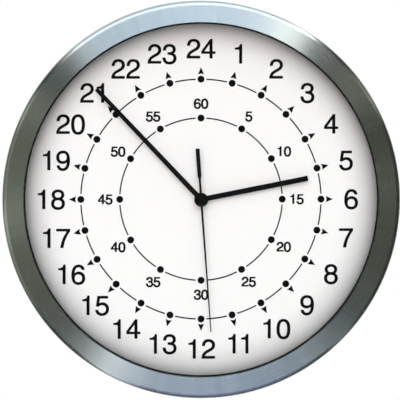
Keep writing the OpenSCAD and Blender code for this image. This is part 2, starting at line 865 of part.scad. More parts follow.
// Third wheel, between seconds and centre wheels
module third_wheel() {
  color("ivory") on_wall() translate(third_at) {
    arbor(arbor_r);
    wheel(third_m, third_teeth, gap_toward(opposite(third_angle), third_teeth), third_z, third_z + wheel_t);
    pinion(centre_m, third_leaves, opposite(third_angle),
           centre_z - float / 2, centre_z + wheel_t + float / 2);
  }
}

// Centre wheel, held by friction on the cannon pinion
module centre_wheel() {
  color("ivory") on_wall() difference() {
    wheel(centre_m, centre_teeth, gap_toward(third_angle, centre_teeth), centre_z, centre_z + wheel_t);
    disc(cannon_r + press_gap, centre_z - over, centre_z + wheel_t + over);
  }
}

// Cannon pinion: the tube that carries the minute hand
module cannon_pinion() {
  top = minute_z + hand_t + collet_out;
  color("silver") on_wall() difference() {
    union() {
      disc(cannon_r, centre_z - float / 2, top);
      pinion(cannon_m, cannon_leaves, motion_angle, cannon_z, motion_z + wheel_t + float);
    }
    disc(arbor_r + run_gap, centre_z - over, top + over);
  }
}

// Minute wheel of the motion work, on the stud
module minute_wheel() {
  top = hour_wheel_z + wheel_t + float;
  color("ivory") on_wall() translate(motion_at) difference() {
    union() {
      wheel(cannon_m, minute_teeth, gap_toward(opposite(motion_angle), minute_teeth),
            motion_z, motion_z + wheel_t);
      pinion(hour_m, minute_leaves, opposite(motion_angle), motion_z + wheel_t / 2, top);
    }
    disc(stud_r + run_gap, motion_z - over, top + over);
  }
}

// Hour wheel and the tube that carries the hour hand
module hour_wheel() {
  top = hour_z + hand_t + collet_out;
  color("ivory") on_wall() difference() {
    union() {
      wheel(hour_m, hour_teeth, gap_toward(motion_angle, hour_teeth), hour_wheel_z, hour_wheel_z + wheel_t);
      disc(hour_tube_r, hour_wheel_z, top);
    }
    disc(cannon_r + run_gap, hour_wheel_z - over, top + over);
  }
}

// Knob that sets the hands, with the pinion that turns the minute wheel
module setting_knob() {
  notch_r = 0.7;
  color("white") on_wall() translate(knob_at) {
    difference() {
      disc(knob_r, knob_z, knob_z + knob_t);
      for (k = [0 : knob_notches - 1]) {
        translate(polar(knob_r + notch_r / 2, k * 360 / knob_notches))
          disc(notch_r, knob_z - over, knob_z + knob_t + over);
      }
    }
    disc(knob_shaft_r, knob_z + knob_t / 2, front_plate_z + pivot_depth - fit);
    pinion(cannon_m, knob_leaves, opposite(motion_angle), cannon_z, motion_z + wheel_t + float);
  }
}

// Brass ring that a hand is riveted to
module collet(r, bore, z, thickness) {
  color("gold") on_wall() ring(r, bore + press_gap, z - collet_out, z + thickness + collet_out);
}

// Straight bar hand that points to 24, with a round hub and a bore for its collet
module bar_hand(root_w, tip_w, length, hub, bore, z) {
  translate([0, 0, z]) linear_extrude(height = hand_t) difference() {
    union() {
      circle(r = hub);
      polygon([[-root_w / 2, 0], [root_w / 2, 0], [tip_w / 2, length], [-tip_w / 2, length]]);
    }
    circle(r = bore);
  }
}

// Hour hand
module hour_hand() {
  color("black") on_wall() clockwise(hour_angle)
    bar_hand(hour_w, hour_w, hour_l, hub_r, hour_collet_r + press_gap, hour_z);
}

// Collet of the hour hand
module hour_collet() {
  collet(hour_collet_r, hour_tube_r, hour_z, hand_t);
}

// Minute hand
module minute_hand() {
  color("black") on_wall() clockwise(minute_angle)
    bar_hand(minute_root_w, minute_tip_w, minute_l, hub_r, minute_collet_r + press_gap, minute_z);
}

// Collet of the minute hand
module minute_collet() {
  collet(minute_collet_r, cannon_r, minute_z, hand_t);
}

// Second hand: tapered needle, and a tail that widens into a paddle
module second_hand() {
  shoulder = (tail_w - second_root_w) / 2;
  color("black") on_wall() clockwise(second_angle) difference() {
    union() {
      disc(hub_r - fit, second_z, second_z + second_t);
      translate([0, 0, second_z]) linear_extrude(height = second_t) polygon([
        [-second_root_w / 2, -tail_neck_l], [-second_root_w / 2, 0], [-second_tip_w / 2, second_l],
        [second_tip_w / 2, second_l], [second_root_w / 2, 0], [second_root_w / 2, -tail_neck_l],
        [tail_w / 2, -tail_neck_l - shoulder], [tail_w / 2, -tail_l], [-tail_w / 2, -tail_l],
        [-tail_w / 2, -tail_neck_l - shoulder]
      ]);
    }
    disc(second_tube_r + press_gap, second_z - over, second_z + second_t + over);
  }
}

// Tube of the second hand, pushed on the long arbor
module second_tube() {
  collet(second_tube_r, arbor_r, second_z, second_t);
}

// Round cap over the hub
module centre_cap() {
  low = second_z + second_t;
  crown_steps = 8;
  color("black") on_wall() rotate_extrude() polygon(concat(
    [[second_tube_r + press_gap, low + collet_out + fit], [second_tube_r + press_gap, low], [cap_r, low]],
    [
      for (k = [0 : crown_steps])
        [cap_r * cos(k * 90 / crown_steps), low + cap_h - cap_crown + cap_crown * sin(k * 90 / crown_steps)]
    ],
    [[0, low + collet_out + fit]]
  ));
}

bezel();
lens();
lens_gasket();
dial();
hour_track();
minute_track();
back_pan();
case_screws();
movement_case();
movement_cover();
middle_plate();
plate_screws();
threaded_bush();
movement_washer();
dial_washer();
ring_nut();
battery_cell();
positive_contact();
negative_contact();
circuit_board();
driver_chip();
quartz_crystal();
stator();
coil_core();
coil_bobbin();
coil_winding();
rotor_magnet();
rotor_pinion();
fifth_wheel();
seconds_wheel();
third_wheel();
centre_wheel();
cannon_pinion();
minute_wheel();
hour_wheel();
setting_knob();
hour_hand();
hour_collet();
minute_hand();
minute_collet();
second_hand();
second_tube();
centre_cap();
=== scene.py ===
"""Twenty-four hour wall clock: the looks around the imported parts, laid out as an add-on."""
import json
import math

import bmesh
import bpy
from mathutils import Matrix, Vector

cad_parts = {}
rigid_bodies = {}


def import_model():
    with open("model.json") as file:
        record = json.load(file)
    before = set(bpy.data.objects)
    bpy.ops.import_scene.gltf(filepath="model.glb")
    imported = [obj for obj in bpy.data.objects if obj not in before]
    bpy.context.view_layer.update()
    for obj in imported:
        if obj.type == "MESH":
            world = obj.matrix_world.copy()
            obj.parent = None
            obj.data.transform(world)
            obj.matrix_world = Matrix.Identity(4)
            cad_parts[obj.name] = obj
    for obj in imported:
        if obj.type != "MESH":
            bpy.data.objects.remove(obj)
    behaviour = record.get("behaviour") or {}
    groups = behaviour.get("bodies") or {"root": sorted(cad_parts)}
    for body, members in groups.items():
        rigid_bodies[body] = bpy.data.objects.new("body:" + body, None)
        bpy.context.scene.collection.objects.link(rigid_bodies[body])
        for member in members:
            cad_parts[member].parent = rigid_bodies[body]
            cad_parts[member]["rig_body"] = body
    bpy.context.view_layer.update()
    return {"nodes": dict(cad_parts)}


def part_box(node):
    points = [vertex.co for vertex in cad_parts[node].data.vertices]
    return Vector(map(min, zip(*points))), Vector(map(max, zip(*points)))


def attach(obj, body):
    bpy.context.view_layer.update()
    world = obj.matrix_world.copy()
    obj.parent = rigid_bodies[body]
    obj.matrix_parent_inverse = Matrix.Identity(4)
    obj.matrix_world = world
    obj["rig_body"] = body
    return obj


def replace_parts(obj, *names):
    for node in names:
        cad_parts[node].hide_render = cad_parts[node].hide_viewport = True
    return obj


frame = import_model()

bl_info = {
    "name": "Twenty-four hour wall clock",
    "version": (1, 0, 0),
    "blender": (4, 5, 0),
    "location": "View3D > Sidebar > Clock",
    "description": "Dresses the packed parts of a round wall clock with a twenty-four hour dial",
    "category": "Object",
}

AXIS = Vector((0, 1, 0))
FULL_TURN = 2 * math.pi
QUARTER = math.pi / 2
# Corners of a node's box: the one towards the viewer and the one towards the wall.
FRONT, REAR = 0, 1
# Points nearer to each other than this are one.
MERGE = 1e-6
# Angles between two faces: below the first they are one face, past the second their edge is
# shaded sharp, and past the third it is rounded.
FLAT_ANGLE, SHARP_ANGLE, EASED_ANGLE = map(math.radians, (0.4, 32, 35))
EASE_SEGMENTS = 2
# Steps of a full turn.
RING_STEPS, DIAL_STEPS, CAP_STEPS, BOSS_STEPS, FLOOR_STEPS = 288, 256, 96, 24, 96
# Steps of a quarter arc.
CORNER_STEPS, COVE_STEPS, CROWN_STEPS = 12, 40, 14


def level_of(node, side):
    """Distance out of the wall of a node's front or rear."""
    return -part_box(node)[side].y


def radius_of(node):
    """Outer radius of a node that is round about the hands' axis."""
    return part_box(node)[1].x


# ---- settings


def a_length(name, description, default):
    """A length that a user may change."""
    return bpy.props.FloatProperty(
        name=name, description=description, default=default, precision=5, unit="LENGTH")


def a_share(name, description, default):
    """A share from 0 to 1 that a user may change."""
    return bpy.props.FloatProperty(
        name=name, description=description, default=default, min=0, max=1, subtype="FACTOR")


def an_angle(name, description, degrees):
    """An angle that a user may change."""
    return bpy.props.FloatProperty(
        name=name, description=description, default=math.radians(degrees), subtype="ANGLE")


def a_colour(name, description, default):
    """A colour that a user may change."""
    return bpy.props.FloatVectorProperty(
        name=name, description=description, default=default, size=3, min=0, max=1,
        subtype="COLOR")


def a_place(name, description, default):
    """A place that a user may change."""
    return bpy.props.FloatVectorProperty(
        name=name, description=description, default=default, size=3, precision=5, subtype="XYZ",
        unit="LENGTH")


class RingSettings(bpy.types.PropertyGroup):
    """Sizes and finish of the brushed ring"""

    opening: a_length("Opening radius", "Radius of the ring's opening", 0.1337)
    flange: a_length("Flange", "Thickness of the front flange", 0.003)
    wall: a_length("Skirt wall", "Thickness of the skirt", 0.003)
    fall: a_length("Fall", "How far the face falls back towards its outer edge", 0.0006)
    corner: a_length("Corner radius", "Radius of the outer corner", 0.0034)
    chamfer: a_length("Chamfer", "Chamfer at the inner edge", 0.0004)
    edge: a_length("Edge", "Radius of the ring's other edges", 0.00012)
    rib: a_length("Rib", "Thickness of the rib around the glass", 0.0014)
    rib_gap: a_length("Rib gap", "Gap between the rib and the rubber channel", 0.0001)
    boss: a_length("Boss radius", "Radius of a screw boss", 0.0025)
    metal: a_colour("Metal", "Colour of the bare metal", (0.83, 0.85, 0.87))
    # Painted shade: a dark line on the chamfer at the opening, at this share of the metal's colour.
    edge_shade_share: a_share(
        "Cut edge", "Share of the metal's colour left on the opening's dulled edge", 0.25)
    # Painted shade: the skirt's metal is darkened to this share, to tone down its glare.
    skirt_shade_share: a_share(
        "Skirt share", "Share of the metal's colour left on the duller skirt", 0.66)
    roughness: a_share("Roughness", "Roughness across the brush lines", 0.26)


class DialSettings(bpy.types.PropertyGroup):
    """Sizes and colours of the dial and its numerals"""

    cove_start: a_length("Cove start", "Radius at which the dial starts to turn up", 0.1187)
    cove_width: a_length("Cove width", "Width of the coved edge", 0.015)
    sheet: a_length("Sheet", "Thickness of the dial sheet", 0.0008)
    bore: a_length("Bore", "Radius of the hole for the bush", 0.0041)
    paint: a_colour("Paint", "Colour of the dial", (0.93, 0.93, 0.93))
    # Painted shade: the dial greys to this colour at its rim, adding to the cove's own shading.
    shade: a_colour("Rim shade", "Colour that the dial reaches at its rim", (0.2, 0.2, 0.2))
    painted_shade_start: a_length("Shade start", "Radius at which the dial starts to grey", 0.104)
    painted_shade_power: bpy.props.FloatProperty(
        name="Shade power", description="How late the grey comes on towards the rim", default=2.6)
    ink: a_colour("Ink", "Colour of the printed marks", (0.0035, 0.0035, 0.0035))
    ink_depth: a_length("Ink depth", "Thickness of the print", 0.00012)
    hour_height: a_length("Hour numerals", "Height of the hour numerals", 0.0146)
    hour_radius: a_length("Hour circle", "Radius of the circle of hour numerals", 0.1138)
    hour_spread: a_length("Hour spread", "How far the ink of the hour numerals spreads", 0.00028)
    minute_height: a_length("Minute numerals", "Height of the minute numerals", 0.0072)
    minute_radius: a_length("Minute circle", "Radius of the circle of minute numerals", 0.0724)
    minute_spread: a_length(
        "Minute spread", "How far the ink of the minute numerals spreads", 0.00034)
    track_spread: a_length("Track spread", "How far the ink of the tracks spreads", 0.00023)
    arrow_start: a_length(
        "Arrowhead start", "Radius beyond which the tracks' print is arrowheads", 0.0942)
    arrow_spread: a_length("Arrowhead spread", "How far the ink of the arrowheads spreads", 0.00038)


class HandSettings(bpy.types.PropertyGroup):
    """Sizes and finish of the hands"""

    lacquer: a_colour("Lacquer", "Colour of the hands", (0.003, 0.003, 0.003))
    edge: a_length("Edge", "Radius of the hands' edges", 0.00008)
    crown: a_length("Crown", "Height of the cap's crown", 0.0006)


class BackSettings(bpy.types.PropertyGroup):
    """Sizes and finish of the pan and the movement"""

    pan: a_colour("Pan", "Colour of the moulded pan", (0.42, 0.43, 0.44))
    pan_edge: a_length("Pan edge", "Radius of the pan's moulded edges", 0.00025)
    sleeve: a_colour("Sleeve", "Colour of the cell's sleeve", (0.03, 0.11, 0.07))
    band: a_colour("Band", "Colour of the sleeve's pale band", (0.55, 0.42, 0.2))
    band_reach: a_length(
        "Band reach", "Distance from the cell's nub to the end of the pale band", 0.0125)
    nub: a_length("Nub", "Bare length at the cell's nub", 0.0016)
    can_end: a_length("Can end", "Bare length at the cell's flat end", 0.0006)


class StageSettings(bpy.types.PropertyGroup):
    """Camera, lamp and floor"""

    distance: a_length("Camera distance", "Distance from the camera to the clock", 3.0)
    span: a_length("Span", "Width of the picture at the clock", 0.3022)
    azimuth: an_angle("Azimuth", "Turn of the camera to the right of the front", -1.5)
    elevation: an_angle("Elevation", "Height of the camera above the front", 3.3)
    aim: a_place("Aim", "Point that the camera looks at", (-0.0009, -0.030, -0.00025))
    floor_level: a_length("Floor level", "Height of the floor", -0.42)
    floor_radius: a_length("Floor radius", "Radius of the round floor", 1.1)
    key_power: bpy.props.FloatProperty(
        name="Key power", description="Power of the front softbox", default=22.3, min=0,
        unit="POWER")
    key_colour: a_colour("Key colour", "Colour of the front softbox", (0.995, 0.796, 0.788))
    key_size: a_length("Key size", "Side of the square front softbox", 1.3)
    key_place: a_place("Key place", "Middle of the front softbox", (-0.15, -1.7, 0.45))


# ---- mesh tools


def merge(shape):
    """Makes one point of those that lie together."""
    bmesh.ops.remove_doubles(shape, verts=shape.verts, dist=MERGE)


def add_object(name, data):
    """Adds an object to the scene."""
    made = bpy.data.objects.new(name, data)
    bpy.context.scene.collection.objects.link(made)
    return made


def object_from(shape, name, finish):
    """Turns a bmesh into an object with a finish."""
    mesh = bpy.data.meshes.new(name)
    shape.to_mesh(mesh)
    shape.free()
    mesh.materials.append(finish)
    return add_object(name, mesh)


def piece_from(shape, name, body, finish):
    """Turns a bmesh into a smooth piece that rides on a body, with its normals outwards."""
    merge(shape)
    bmesh.ops.recalc_face_normals(shape, faces=shape.faces)
    piece = object_from(shape, name, finish)
    piece.data.shade_smooth()
    piece.data.set_sharp_from_angle(angle=SHARP_ANGLE)
    piece.modifiers.new("flat_faces", "WEIGHTED_NORMAL").keep_sharp = True
    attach(piece, body)
    return piece


def pour(part, whole):
    """Adds one bmesh to another and frees it."""
    mesh = bpy.data.meshes.new("part")
    part.to_mesh(mesh)
    part.free()
    whole.from_mesh(mesh)
    bpy.data.meshes.remove(mesh)


def verts_in(geometry):
    """The vertices among the results of a bmesh operator."""
    return [part for part in geometry if isinstance(part, bmesh.types.BMVert)]


def profile(shape, points, last=None):
    """Carries a turned profile on through radii and levels, and returns its end."""
    for radius, level in points:
        point = shape.verts.new((0, -level, radius))
        if last is not None:
            shape.edges.new((last, point))
        last = point
    return last


def profile_arc(shape, last, radius, level, angle, steps):
    """Carries a turned profile on along an arc about a centre, and returns its end."""
    made = bmesh.ops.spin(
        shape, geom=[last], cent=(0, -level, radius), axis=(1, 0, 0), angle=angle, steps=steps,
        use_merge=False, use_duplicate=False)
    return verts_in(made["geom_last"])[0]


def flatten(shape, verts, level, share):
    """Brings points closer to a level, to a share of their distance from it."""
    bmesh.ops.scale(
        shape, vec=(1, share, 1), verts=verts, space=Matrix.Translation((0, level, 0)))


def close(shape, last):
    """Joins the end of a turned profile to its start."""
    shape.verts.ensure_lookup_table()
    shape.edges.new((last, shape.verts[0]))


def turn(shape, steps):
    """Turns the whole profile once about the hands' axis."""
    bmesh.ops.spin(
        shape, geom=shape.verts[:] + shape.edges[:], axis=AXIS, angle=FULL_TURN, steps=steps,
        use_merge=True, use_duplicate=False)
    merge(shape)
    bmesh.ops.recalc_face_normals(shape, faces=shape.faces)


def ease_edges(shape, width):
    """Rounds every edge whose faces meet sharply."""
    edges = [e for e in shape.edges if e.is_manifold and e.calc_face_angle(0) > EASED_ANGLE]
    bmesh.ops.bevel(
        shape, geom=edges, offset=width, offset_type="OFFSET", affect="EDGES",
        segments=EASE_SEGMENTS, profile=0.5, material=-1, clamp_overlap=True, loop_slide=True)


def copy_of(node):
    """A merged copy of a CAD node's mesh."""
    shape = bmesh.new()
    shape.from_mesh(frame["nodes"][node].data)
    merge(shape)
    return shape


def eased_copy(node, name, finish, width):
    """A copy of a CAD node with rounded edges, which stands for that node."""
    shape = copy_of(node)
    bmesh.ops.dissolve_limit(
        shape, angle_limit=FLAT_ANGLE, verts=shape.verts, edges=shape.edges, delimit=set())
    ease_edges(shape, width)
    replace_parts(piece_from(shape, name, frame["nodes"][node]["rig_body"], finish), node)


def dress(finish, *nodes):
    """Gives CAD nodes a finish."""
    for node in nodes:
        for holder in frame["nodes"][node].material_slots:
            holder.material = finish


# ---- node tools

# Span that a noise mostly keeps to.
NOISE_SPAN = (0.3, 0.7)
# Height of the finest relief of a surface.
SKIN_RELIEF = 0.00001
BLACK, WHITE = (0, 0, 0), (1, 1, 1)
# The Mix node's sockets for colours.
MIX_DARK, MIX_LIGHT, MIX_RESULT = 6, 7, 2


def blank(name):
    """A material with an empty node tree."""
    finish = bpy.data.materials.new(name)
    finish.use_nodes = True
    finish.node_tree.nodes.clear()
    return finish, finish.node_tree


def put(tree, kind, inputs=None, **settings):
    """Adds a node, sets it and links or fills its inputs."""
    node = tree.nodes.new("ShaderNode" + kind)
    for name, value in settings.items():
        setattr(node, name, value)
    for name, value in (inputs or {}).items():
        socket = node.inputs[name]
        if isinstance(value, bpy.types.NodeSocket):
            tree.links.new(value, socket)
        else:
            socket.default_value = (*value, 1) if socket.type == "RGBA" else value
    return node


def vector_maths(tree, operation, first, second=None):
    """Result of a Vector Math node."""
    inputs = {0: first} if second is None else {0: first, 1: second}
    node = put(tree, "VectorMath", inputs, operation=operation)
    return node.outputs["Value" if operation == "LENGTH" else "Vector"]


def scaled(tree, vector, scale):
    """A vector times a number."""
    return put(
        tree, "VectorMath", {0: vector, "Scale": scale}, operation="SCALE").outputs["Vector"]


def maths(tree, operation, first, second=0.0):
    """Result of a Math node."""
    return put(tree, "Math", {0: first, 1: second}, operation=operation).outputs[0]


def between(tree, value, low, high, to_low=0.0, to_high=1.0, smooth=False):
    """A value carried from one range to another."""
    return put(tree, "MapRange", {
        "Value": value, "From Min": low, "From Max": high, "To Min": to_low, "To Max": to_high,
    }, interpolation_type="SMOOTHSTEP" if smooth else "LINEAR").outputs["Result"]


def around(tree, value, middle, swing):
    """A noise carried to the numbers around a middle one."""
    return between(tree, value, *NOISE_SPAN, middle - swing, middle + swing)


def weighed(tree, first, share, second):
    """The first value's share and the rest of the second one."""
    return maths(
        tree, "ADD", maths(tree, "MULTIPLY", first, share),
        maths(tree, "MULTIPLY", second, 1 - share))


def shades(tree, factor, dark, light):
    """Mix of two colours by a factor."""
    return put(
        tree, "Mix", {0: factor, MIX_DARK: dark, MIX_LIGHT: light}, data_type="RGBA"
    ).outputs[MIX_RESULT]


def tinted(colour, share):
    """A colour made darker or lighter by a share."""
    return tuple(min(1.0, c * share) for c in colour)


def mottled(tree, factor, colour, dark, light):
    """A colour that goes from a darker to a lighter share of itself."""
    return shades(tree, factor, tinted(colour, dark), tinted(colour, light))


def noise(tree, where, scale, detail=2.0, roughness=0.5):
    """Noise over a place."""
    return put(tree, "TexNoise", {
        "Vector": where, "Scale": scale, "Detail": detail, "Roughness": roughness,
    }).outputs["Fac"]


def bump(tree, height, strength, relief=SKIN_RELIEF):
    """Normal bent by a height."""
    return put(
        tree, "Bump", {"Height": height, "Strength": strength, "Distance": relief}
    ).outputs["Normal"]


def surfaced(finish, inputs):
    """The material, with a shader of some inputs for its surface."""
    shader = put(finish.node_tree, "BsdfPrincipled", inputs)
    put(finish.node_tree, "OutputMaterial", {"Surface": shader.outputs[0]})
    return finish


def here(tree):
    """The piece's own coordinates."""
    return put(tree, "TexCoord").outputs["Object"]


def off_axis(tree):
    """Vector from the hands' axis to the place, square to the axis."""
    return vector_maths(tree, "MULTIPLY", here(tree), (1, 0, 1))


def out_of_wall(tree):
    """Place along the hands' axis."""
    return put(tree, "SeparateXYZ", {0: here(tree)}).outputs["Y"]


# ---- finishes

# Brush lines in a metre, and how fast they change along the circle.
BRUSH_LINES, BRUSH_DRIFT = 5200.0, 7.0
# Distances over which the metal's colour changes to the ring's painted shade at its inner edge and
# on its skirt.
EDGE_SHADE_FADE, SKIRT_SHADE_FADE = 0.00015, 0.004
# Dull finishes: roughness, grains in a metre, relief, change of colour and specular level.
DULL = {
    "printed_black_ink": (0.6, 1800, SKIN_RELIEF, 0.25, 0.12),
    "black_lacquer_coat": (0.4, 1300, 0.000008, 0.2, 0.2),
    "black_rubber_skin": (0.7, 1500, 0.00002, 0.2, 0.15),
    "grey_spark_texture": (0.55, 1500, 0.00008, 0.05, 0.4),
    "dark_satin_moulding": (0.45, 1700, 0.00004, 0.12, 0.5),
    "pale_satin_moulding": (0.42, 1500, 0.00003, 0.06, 0.45),
    "white_acetal_knob": (0.35, 1100, SKIN_RELIEF, 0.05, 0.5),
    "natural_acetal": (0.32, 1400, SKIN_RELIEF, 0.05, 0.5),
    "cast_black_resin": (0.22, 500, 0.00003, 0.2, 0.5),
    "pale_floor": (0.8, 90, 0.0001, 0.01, 0.1),
}
# Turned metals: colour, roughness and the tool's rings in a metre.
TURNED = {
    "turned_brass_collets": ((0.75, 0.56, 0.26), 0.3, 5000),
    "turned_brass_bush": ((0.75, 0.56, 0.26), 0.32, 4000),
    "turned_steel_arbor": ((0.62, 0.62, 0.63), 0.25, 6000),
}
# Plated or stamped metals: colour, roughness and grains in a metre.
PLATED = {
    "nickel_plated_screws": ((0.66, 0.66, 0.67), 0.28, 900),
    "spring_steel": ((0.6, 0.6, 0.61), 0.25, 900),
    "drawn_bright_can": ((0.78, 0.78, 0.8), 0.15, 900),
    "stamped_motor_iron": ((0.42, 0.43, 0.45), 0.4, 1500),
    "sintered_magnet": ((0.16, 0.16, 0.17), 0.5, 2600),
}


def brushed_ring_finish(settings):
    """Aluminium brushed along the circle: fine lines, and a sheen that is long across them."""
    finish, tree = blank("brushed_aluminium_ring")
    level, flat = out_of_wall(tree), off_axis(tree)
    radius = vector_maths(tree, "LENGTH", flat)
    outward = vector_maths(tree, "NORMALIZE", flat)
    along_brush = vector_maths(tree, "CROSS_PRODUCT", outward, AXIS)
    across_brush = vector_maths(
        tree, "CROSS_PRODUCT", along_brush, put(tree, "NewGeometry").outputs["Normal"])
    direction = put(tree, "SeparateXYZ", {0: outward}).outputs
    lines_at = put(tree, "CombineXYZ", {
        "X": maths(tree, "MULTIPLY", maths(tree, "ADD", radius, level), BRUSH_LINES),
        "Y": maths(tree, "MULTIPLY", direction["X"], BRUSH_DRIFT),
        "Z": maths(tree, "MULTIPLY", direction["Z"], BRUSH_DRIFT)}).outputs[0]
    lines = noise(tree, lines_at, scale=1.0, detail=3.0, roughness=0.65)
    patches = noise(tree, outward, scale=9.0)
    # Painted sheen: the streaks lighten and darken the colour in radial bands, as its reflection
    # does.
    streaks = noise(tree, outward, scale=24.0, detail=3.0, roughness=0.65)
    # The colour mixes the brush lines' own tone with the painted sheen streaks.
    both = between(tree, weighed(tree, lines, 0.45, streaks), 0.25, 0.75)
    skin = mottled(tree, both, settings.metal, 0.92, 1.08)
    # Painted shade: the chamfer at the opening gets a dark line of the metal's colour.
    face_start = settings.opening + settings.chamfer
    face = between(tree, radius, face_start, face_start + EDGE_SHADE_FADE, smooth=True)
    skin_with_edge_shade = shades(tree, face, tinted(settings.metal, settings.edge_shade_share), skin)
    # Painted shade: the skirt's metal is darkened, to tone down its glare.
    corner_end = settings.corner + settings.fall - level_of("bezel", FRONT)
    skirt = between(tree, level, corner_end, corner_end + SKIRT_SHADE_FADE, smooth=True)
    return surfaced(finish, {
        "Base Color": shades(tree, skirt, skin_with_edge_shade, tinted(settings.metal, settings.skirt_shade_share)),
        "Metallic": 1.0, "Anisotropic": 1.0, "Tangent": across_brush,
        "Roughness": maths(
            tree, "ADD", around(tree, lines, 0.0, 0.015),
            around(tree, patches, settings.roughness, 0.01)),
        "Normal": bump(tree, lines, 0.05)})


def glass_finish():
    """Clear float glass that lets the lamps through to the dial."""
    finish, tree = blank("clear_glass_pane")
    specks = noise(tree, here(tree), scale=60.0, detail=3.0)
    glass = put(tree, "BsdfPrincipled", {
        "Base Color": (0.985, 0.995, 0.99), "IOR": 1.5, "Transmission Weight": 1.0,
        "Roughness": between(tree, specks, 0.45, 0.75, 0.0, 0.02)})
    clear = put(tree, "BsdfTransparent", {"Color": (0.97, 0.985, 0.98)})
    rays = put(tree, "LightPath").outputs
    lamps = maths(tree, "MAXIMUM", rays["Is Shadow Ray"], rays["Is Diffuse Ray"])
    both = put(tree, "MixShader", {0: lamps, 1: glass.outputs[0], 2: clear.outputs[0]})
    put(tree, "OutputMaterial", {"Surface": both.outputs[0]})
    return finish


def dull_finish(name, colour):
    """Moulded, printed or rubber surface: a fine grain, and a slight change of colour."""
    finish, tree = blank(name)
    roughness, grain, relief, spread, specular = DULL[name]
    fine = noise(tree, here(tree), scale=grain, roughness=0.6)
    broad = noise(tree, here(tree), scale=45.0, detail=3.0)
    return surfaced(finish, {
        "Base Color": mottled(
            tree, weighed(tree, fine, 0.4, broad), colour, 1 - spread, 1 + spread),
        "Roughness": around(tree, broad, roughness, 0.05), "Specular IOR Level": specular,
        "Normal": bump(tree, fine, 0.35, relief)})


def turned_finish(name):
    """Metal turned about the hands' axis, with the tool's rings."""
    finish, tree = blank(name)
    colour, roughness, rings = TURNED[name]
    radius = vector_maths(tree, "LENGTH", off_axis(tree))
    across = put(tree, "CombineXYZ", {"X": radius, "Y": out_of_wall(tree)}).outputs[0]
    marks = noise(tree, across, scale=rings, roughness=0.6)
    stains = noise(tree, here(tree), scale=250.0, detail=3.0)
    return surfaced(finish, {
        "Base Color": mottled(tree, stains, colour, 0.88, 1.06), "Metallic": 1.0,
        "Roughness": around(tree, marks, roughness, 0.06), "Normal": bump(tree, marks, 0.3)})


def plated_finish(name):
    """Plated or stamped metal with faint stains and a fine skin."""
    finish, tree = blank(name)
    colour, roughness, grain = PLATED[name]
    stains = noise(tree, here(tree), scale=160.0, detail=3.0)
    skin = noise(tree, here(tree), scale=grain, detail=3.0, roughness=0.7)
    return surfaced(finish, {
        "Base Color": mottled(tree, stains, colour, 0.85, 1.05), "Metallic": 1.0,
        "Roughness": around(tree, skin, roughness, 0.07), "Normal": bump(tree, skin, 0.2)})


def dial_finish(settings):
    """Satin white paint with a very fine skin, and painted shade that greys it towards the rim."""
    finish, tree = blank("satin_white_paint")
    skin = noise(tree, here(tree), scale=2400.0)
    broad = noise(tree, here(tree), scale=14.0)
    radius = vector_maths(tree, "LENGTH", off_axis(tree))
    # Painted shade: grey from the shade start to the rim, on top of the cove's own shading.
    rim = between(tree, radius, settings.painted_shade_start, settings.cove_start + settings.cove_width)
    return surfaced(finish, {
        "Base Color": shades(
            tree, maths(tree, "POWER", rim, settings.painted_shade_power),
            mottled(tree, broad, settings.paint, 0.99, 1.01), settings.shade),
        "Roughness": around(tree, broad, 0.55, 0.05), "Specular IOR Level": 0.25,
        "Normal": bump(tree, skin, 0.15)})


def sleeve_finish(settings):
    """Cell: a printed sleeve with a pale band at one end, and bare metal at both ends."""
    finish, tree = blank("cell_sleeve_print")
    low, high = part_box("battery_cell")
    along = put(tree, "SeparateXYZ", {0: here(tree)}).outputs["X"]
    scuffs = noise(tree, here(tree), scale=300.0, detail=4.0, roughness=0.7)
    band = maths(tree, "GREATER_THAN", along, high.x - settings.band_reach)
    sleeve = shades(tree, band, settings.sleeve, settings.band)
    ends = maths(
        tree, "MAXIMUM", maths(tree, "GREATER_THAN", along, high.x - settings.nub),
        maths(tree, "LESS_THAN", along, low.x + settings.can_end))
    return surfaced(finish, {
        "Base Color": shades(tree, ends, sleeve, (0.62, 0.62, 0.63)),
        "Metallic": maths(tree, "MAXIMUM", ends, maths(tree, "MULTIPLY", band, 0.7)),
        "Roughness": between(tree, scuffs, 0.35, 0.7, 0.22, 0.36),
        "Normal": bump(tree, scuffs, 0.1)})


def winding_finish():
    """Enamelled wire laid in turns around the coil."""
    finish, tree = blank("copper_turns")
    turns = put(
        tree, "TexWave",
        {"Vector": here(tree), "Scale": 900.0, "Distortion": 0.6, "Detail": 1.0},
        wave_type="BANDS", bands_direction="X").outputs["Fac"]
    return surfaced(finish, {
        "Base Color": shades(tree, turns, (0.3, 0.1, 0.04), (0.72, 0.33, 0.15)),
        "Metallic": 0.9, "Roughness": between(tree, turns, 0.0, 1.0, 0.45, 0.25),
        "Normal": bump(tree, turns, 0.6, 0.00005)})


def board_finish():
    """Green solder mask over faint copper tracks."""
    finish, tree = blank("green_solder_mask")
    tracks = put(tree, "TexBrick", {
        "Vector": off_axis(tree), "Scale": 520.0, "Mortar Size": 0.08,
        "Color1": BLACK, "Color2": BLACK, "Mortar": WHITE}).outputs["Fac"]
    fine = noise(tree, here(tree), scale=700.0)
    return surfaced(finish, {
        "Base Color": shades(tree, tracks, (0.02, 0.13, 0.05), (0.06, 0.25, 0.09)),
        "Roughness": around(tree, fine, 0.36, 0.06), "Normal": bump(tree, tracks, 0.3, 0.00002)})


# ---- numerals

# Height of a figure, how far its round parts reach below the line, its width, the step to the
# next figure and how much less that is between two ones.
CAP_UNITS, OVERSHOOT, FIGURE_UNITS, ADVANCE_UNITS, CLOSER_ONES = 703, 19, 556, 543, 74
# How far an oval's handles reach, as a share of its half width and half height.
OVAL_HANDLE = 0.66
# Steps of a curve between two points of a figure.
CURVE_STEPS = 8
# Longest edge of the print on the cove, and how often an edge is halved at most.
COVE_EDGE, MOST_CUTS = 0.0016, 6
